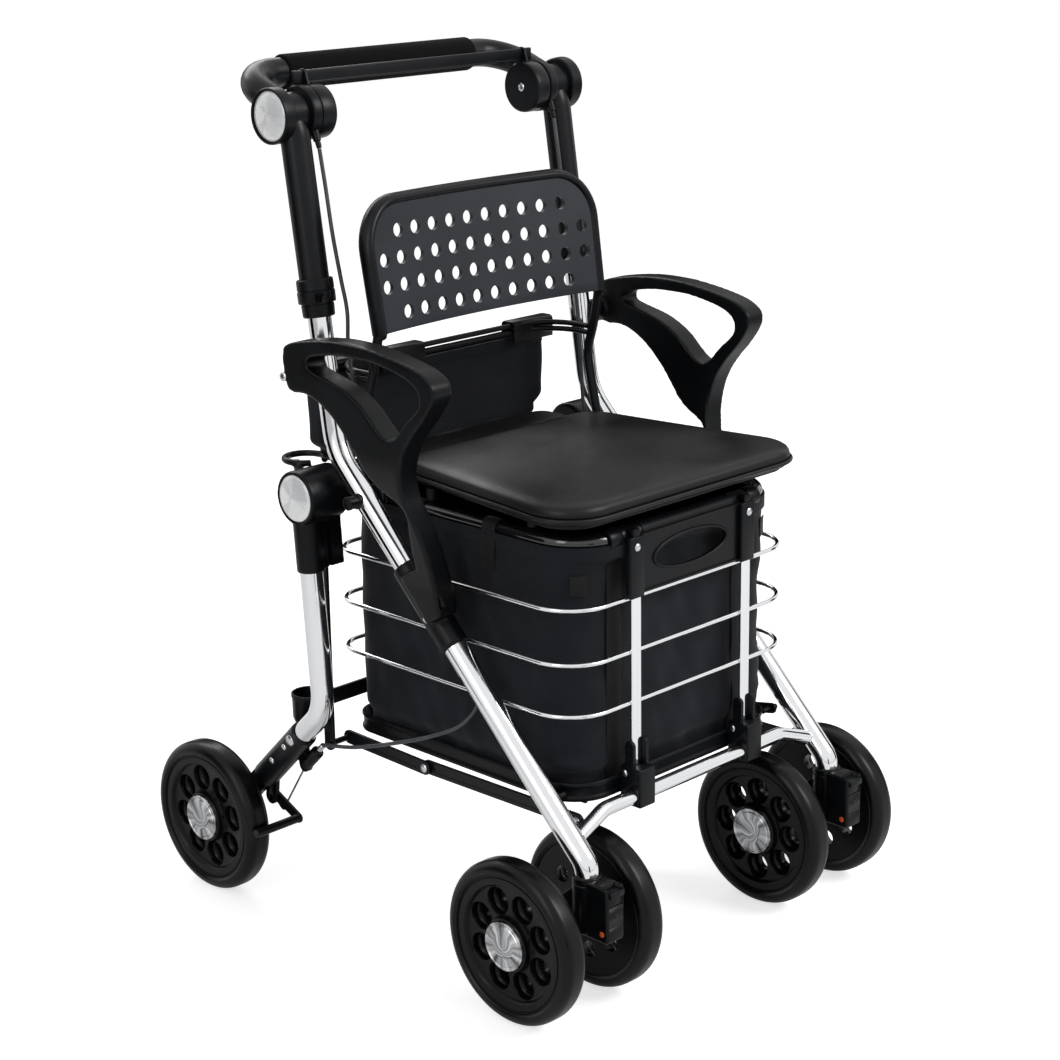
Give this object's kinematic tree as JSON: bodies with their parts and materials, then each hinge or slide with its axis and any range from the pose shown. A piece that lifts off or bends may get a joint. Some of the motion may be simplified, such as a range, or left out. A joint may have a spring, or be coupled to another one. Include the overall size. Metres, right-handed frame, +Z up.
{
  "type": "shopping rollator",
  "caption": "Folding shopping walker on wheels with a seat, perforated backrest, loop armrests, a squeeze-bar brake and a bag in a wire basket.",
  "frame": {"origin": "on the floor under the middle of the object's box", "axes": "+Z up, -Y the way it is pushed, with the twin casters in front, X across"},
  "size_m": [0.5606, 0.659, 0.938],
  "materials": {
    "chrome": "bright plated steel tube",
    "black_steel": "black powder coat, satin",
    "black_plastic": "black moulded plastic, fine grain",
    "tyre": "black solid tyre",
    "foam": "black soft foam",
    "leather": "black artificial leather",
    "cloth": "black woven polyester",
    "reflector": "clear faceted lens"
  },
  "bodies": {
    "frame": {"left_front_leg": "chrome", "right_front_leg": "chrome", "front_cross_tube": "chrome", "fold_axle": "black_steel", "left_armrest": "black_plastic", "right_armrest": "black_plastic", "backrest_frame": "black_steel", "backrest_panel": "black_plastic", "seat_frame": "black_steel", "seat_rear_pad": "leather", "shopping_bag": "cloth", "rear_pouch": "cloth", "basket_wires": "chrome", "basket_handle_panel": "black_plastic", "base_tray": "black_plastic", "left_brake_cable": "black_plastic", "right_brake_cable": "black_plastic"},
    "rear_legs": {"left_rear_leg": "chrome", "left_leg_housing": "black_plastic", "left_leg_reflector": "reflector", "left_wheel_bracket": "black_steel", "right_rear_leg": "chrome", "right_leg_housing": "black_plastic", "right_leg_reflector": "reflector", "right_wheel_bracket": "black_steel", "rear_cross_bar": "black_steel", "umbrella_cup": "black_plastic"},
    "handle": {"push_handle": "black_steel", "handle_grip": "foam", "left_handle_collar": "black_plastic", "left_brake_housing": "black_plastic", "left_handle_reflector": "reflector", "right_handle_collar": "black_plastic", "right_brake_housing": "black_plastic", "right_handle_reflector": "reflector"},
    "brake_bar": {"brake_bar": "black_steel"},
    "seat": {"seat_cushion": "leather", "seat_board": "black_plastic"},
    "left_caster": {"left_caster_fork": "black_plastic"},
    "left_caster_lock": {"left_caster_lock": "black_plastic"},
    "left_caster_outer_wheel": {"left_caster_outer_tyre": "tyre", "left_caster_outer_rim": "black_plastic"},
    "left_caster_inner_wheel": {"left_caster_inner_tyre": "tyre", "left_caster_inner_rim": "black_plastic"},
    "left_rear_wheel": {"left_rear_tyre": "tyre", "left_rear_rim": "black_plastic"},
    "left_brake_arm": {"left_brake_arm": "black_steel"},
    "left_rail_front": {"left_rail_front": "black_steel"},
    "left_rail_rear": {"left_rail_rear": "black_steel"},
    "right_caster": {"right_caster_fork": "black_plastic"},
    "right_caster_lock": {"right_caster_lock": "black_plastic"},
    "right_caster_outer_wheel": {"right_caster_outer_tyre": "tyre", "right_caster_outer_rim": "black_plastic"},
    "right_caster_inner_wheel": {"right_caster_inner_tyre": "tyre", "right_caster_inner_rim": "black_plastic"},
    "right_rear_wheel": {"right_rear_tyre": "tyre", "right_rear_rim": "black_plastic"},
    "right_brake_arm": {"right_brake_arm": "black_steel"},
    "right_rail_front": {"right_rail_front": "black_steel"},
    "right_rail_rear": {"right_rail_rear": "black_steel"}
  },
  "joints": [
    {"name": "handle_height", "type": "slide", "parent": "frame", "child": "handle", "axis": [0, 0.1426, 0.9898], "range_m": [0, 0.08]},
    {"name": "brake_squeeze", "type": "hinge", "parent": "handle", "child": "brake_bar", "pos_m": [0, 0.134, 0.8843], "axis": [-1, 0, 0], "range_deg": [-20, 25], "stiffness_Nm_per_rad": 3},
    {"name": "seat_flip", "type": "hinge", "parent": "frame", "child": "seat", "pos_m": [0, 0.036, 0.522], "axis": [-1, 0, 0], "range_deg": [0, 70]},
    {"name": "fold", "type": "hinge", "parent": "frame", "child": "rear_legs", "pos_m": [0, 0.1, 0.484], "axis": [-1, 0, 0], "range_deg": [0, 30], "deforming": ["shopping_bag", "left_brake_cable", "right_brake_cable"]},
    {"name": "left_rail_front_pivot", "type": "hinge", "parent": "frame", "child": "left_rail_front", "pos_m": [-0.164, -0.245, 0.1915], "axis": [-1, 0, 0], "range_deg": [0, 23]},
    {"name": "left_rail_rear_pivot", "type": "hinge", "parent": "rear_legs", "child": "left_rail_rear", "pos_m": [-0.1683, 0.105, 0.1915], "axis": [1, 0, 0], "range_deg": [0, 121]},
    {"name": "left_brake_arm_pivot", "type": "hinge", "parent": "rear_legs", "child": "left_brake_arm", "pos_m": [-0.212, 0.186, 0.112], "axis": [1, 0, 0], "range_deg": [-2, 2.5]},
    {"name": "left_caster_swivel", "type": "hinge", "parent": "frame", "child": "left_caster", "pos_m": [-0.195, -0.287, 0.14], "axis": [0, 0, 1], "continuous": true},
    {"name": "left_caster_lock_slide", "type": "slide", "parent": "left_caster", "child": "left_caster_lock", "axis": [0, 0, 1], "range_m": [0, 0.008]},
    {"name": "left_caster_outer_spin", "type": "hinge", "parent": "left_caster", "child": "left_caster_outer_wheel", "pos_m": [-0.2525, -0.242, 0.0875], "axis": [1, 0, 0], "continuous": true},
    {"name": "left_caster_inner_spin", "type": "hinge", "parent": "left_caster", "child": "left_caster_inner_wheel", "pos_m": [-0.1375, -0.242, 0.0875], "axis": [1, 0, 0], "continuous": true},
    {"name": "left_rear_wheel_spin", "type": "hinge", "parent": "rear_legs", "child": "left_rear_wheel", "pos_m": [-0.2603, 0.242, 0.0875], "axis": [1, 0, 0], "continuous": true},
    {"name": "right_rail_front_pivot", "type": "hinge", "parent": "frame", "child": "right_rail_front", "pos_m": [0.164, -0.245, 0.1915], "axis": [-1, 0, 0], "range_deg": [0, 23]},
    {"name": "right_rail_rear_pivot", "type": "hinge", "parent": "rear_legs", "child": "right_rail_rear", "pos_m": [0.1683, 0.105, 0.1915], "axis": [1, 0, 0], "range_deg": [0, 121]},
    {"name": "right_brake_arm_pivot", "type": "hinge", "parent": "rear_legs", "child": "right_brake_arm", "pos_m": [0.212, 0.186, 0.112], "axis": [1, 0, 0], "range_deg": [-2, 2.5]},
    {"name": "right_caster_swivel", "type": "hinge", "parent": "frame", "child": "right_caster", "pos_m": [0.195, -0.287, 0.14], "axis": [0, 0, 1], "continuous": true},
    {"name": "right_caster_lock_slide", "type": "slide", "parent": "right_caster", "child": "right_caster_lock", "axis": [0, 0, 1], "range_m": [0, 0.008]},
    {"name": "right_caster_outer_spin", "type": "hinge", "parent": "right_caster", "child": "right_caster_outer_wheel", "pos_m": [0.2525, -0.242, 0.0875], "axis": [1, 0, 0], "continuous": true},
    {"name": "right_caster_inner_spin", "type": "hinge", "parent": "right_caster", "child": "right_caster_inner_wheel", "pos_m": [0.1375, -0.242, 0.0875], "axis": [1, 0, 0], "continuous": true},
    {"name": "right_rear_wheel_spin", "type": "hinge", "parent": "rear_legs", "child": "right_rear_wheel", "pos_m": [0.2603, 0.242, 0.0875], "axis": [1, 0, 0], "continuous": true}
  ],
  "couplings": [
    {"joint": "left_rail_front_pivot", "follows": "fold", "ratio": 0.74457},
    {"joint": "left_rail_rear_pivot", "follows": "fold", "ratio": 4.0137},
    {"joint": "left_brake_arm_pivot", "follows": "brake_squeeze", "ratio": 0.1},
    {"joint": "right_rail_front_pivot", "follows": "fold", "ratio": 0.74457},
    {"joint": "right_rail_rear_pivot", "follows": "fold", "ratio": 4.0137},
    {"joint": "right_brake_arm_pivot", "follows": "brake_squeeze", "ratio": 0.1}
  ]
}
